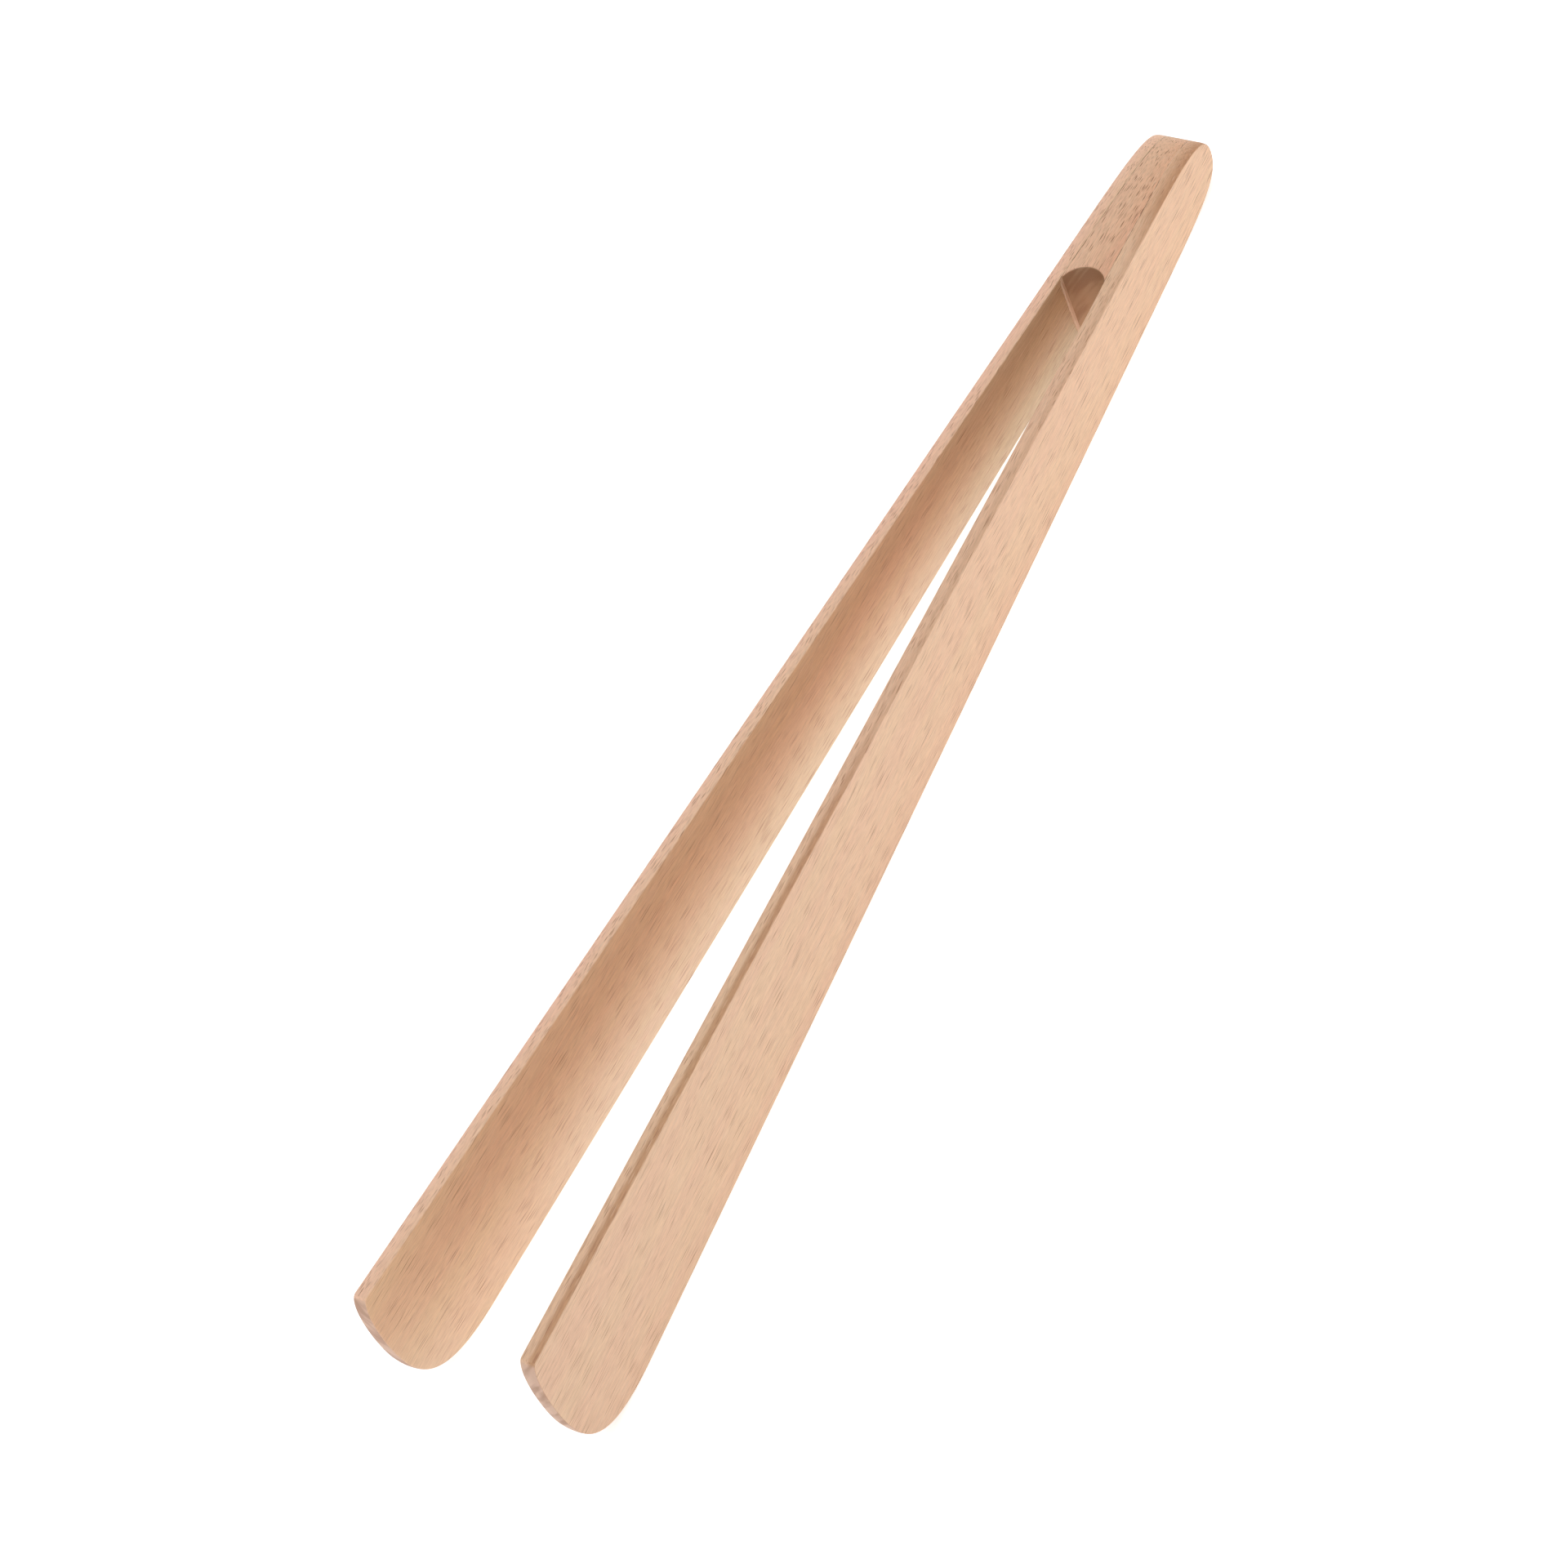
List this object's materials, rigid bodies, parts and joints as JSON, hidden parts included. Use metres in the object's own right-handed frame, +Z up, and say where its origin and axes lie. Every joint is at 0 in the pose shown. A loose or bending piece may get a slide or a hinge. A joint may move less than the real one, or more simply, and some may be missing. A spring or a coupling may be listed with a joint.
{
  "type": "print tongs",
  "caption": "Wooden tongs with long flat springy arms that widen towards rounded tips, glued to a tapered block at the head, for lifting wet prints out of trays.",
  "frame": {"origin": "bottom centre of the bounding box, on the plane that the tongs lie on when laid on their side", "axes": "+X from the head to the tips, +Y towards the right arm, +Z up from the surface; the plane Y = 0 lies midway between the arms' outer faces"},
  "size_m": [0.2996, 0.0396, 0.0372],
  "materials": {
    "beech_arm": "sanded beech, unvarnished",
    "beech_block": "sanded beech, unvarnished"
  },
  "bodies": {
    "head": {"head_block": "beech_block", "left_arm_root": "beech_arm", "right_arm_root": "beech_arm"},
    "left_arm": {"left_arm_blade": "beech_arm"},
    "right_arm": {"right_arm_blade": "beech_arm"}
  },
  "joints": [
    {"name": "left_arm_bend", "type": "hinge", "parent": "head", "child": "left_arm", "pos_m": [-0.06982, -0.00799, 0], "axis": [0, 0, 1], "range_deg": [0, 4.4], "stiffness_Nm_per_rad": 4.5},
    {"name": "right_arm_bend", "type": "hinge", "parent": "head", "child": "right_arm", "pos_m": [-0.06982, 0.00779, 0], "axis": [0, 0, -1], "range_deg": [0, 4.3], "stiffness_Nm_per_rad": 6.8}
  ]
}
